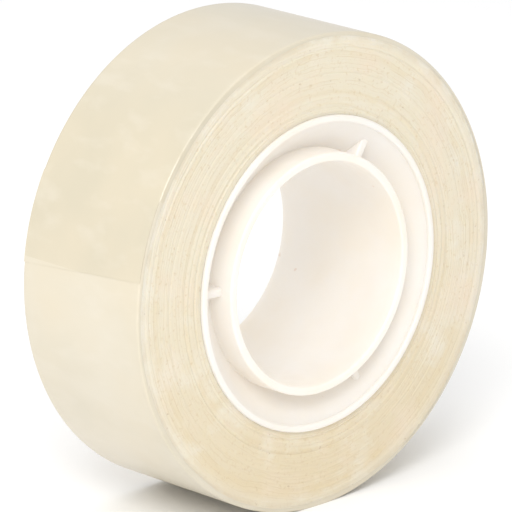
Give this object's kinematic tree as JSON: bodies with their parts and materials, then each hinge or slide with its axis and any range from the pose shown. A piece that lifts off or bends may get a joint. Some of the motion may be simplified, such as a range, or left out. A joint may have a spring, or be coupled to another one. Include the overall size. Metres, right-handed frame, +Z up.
{
  "type": "tape roll",
  "caption": "Roll of clear adhesive tape wound on a ribbed moulded core whose bore turns on a dispenser spindle; the free end peels up.",
  "frame": {"origin": "middle of the core's bore, on its axis, halfway across the roll", "axes": "Y along the bore axis with the front face to -Y, +Z up from the rim that the roll stands on"},
  "size_m": [0.0555, 0.0198, 0.0557],
  "materials": {
    "core_plastic": "satin white moulded plastic, slightly translucent",
    "wound_tape": "pale cream, clear film seen through many turns",
    "tape_film": "clear film with a soft gloss"
  },
  "bodies": {
    "roll": {"core": "core_plastic", "tape_windings": "wound_tape", "outer_turn": "tape_film"},
    "free_end": {"tape_end": "tape_film"}
  },
  "joints": [
    {"name": "peel", "type": "hinge", "parent": "roll", "child": "free_end", "pos_m": [-0.02446, 0, 0.0133], "axis": [0, 1, 0], "range_deg": [0, 90]}
  ]
}
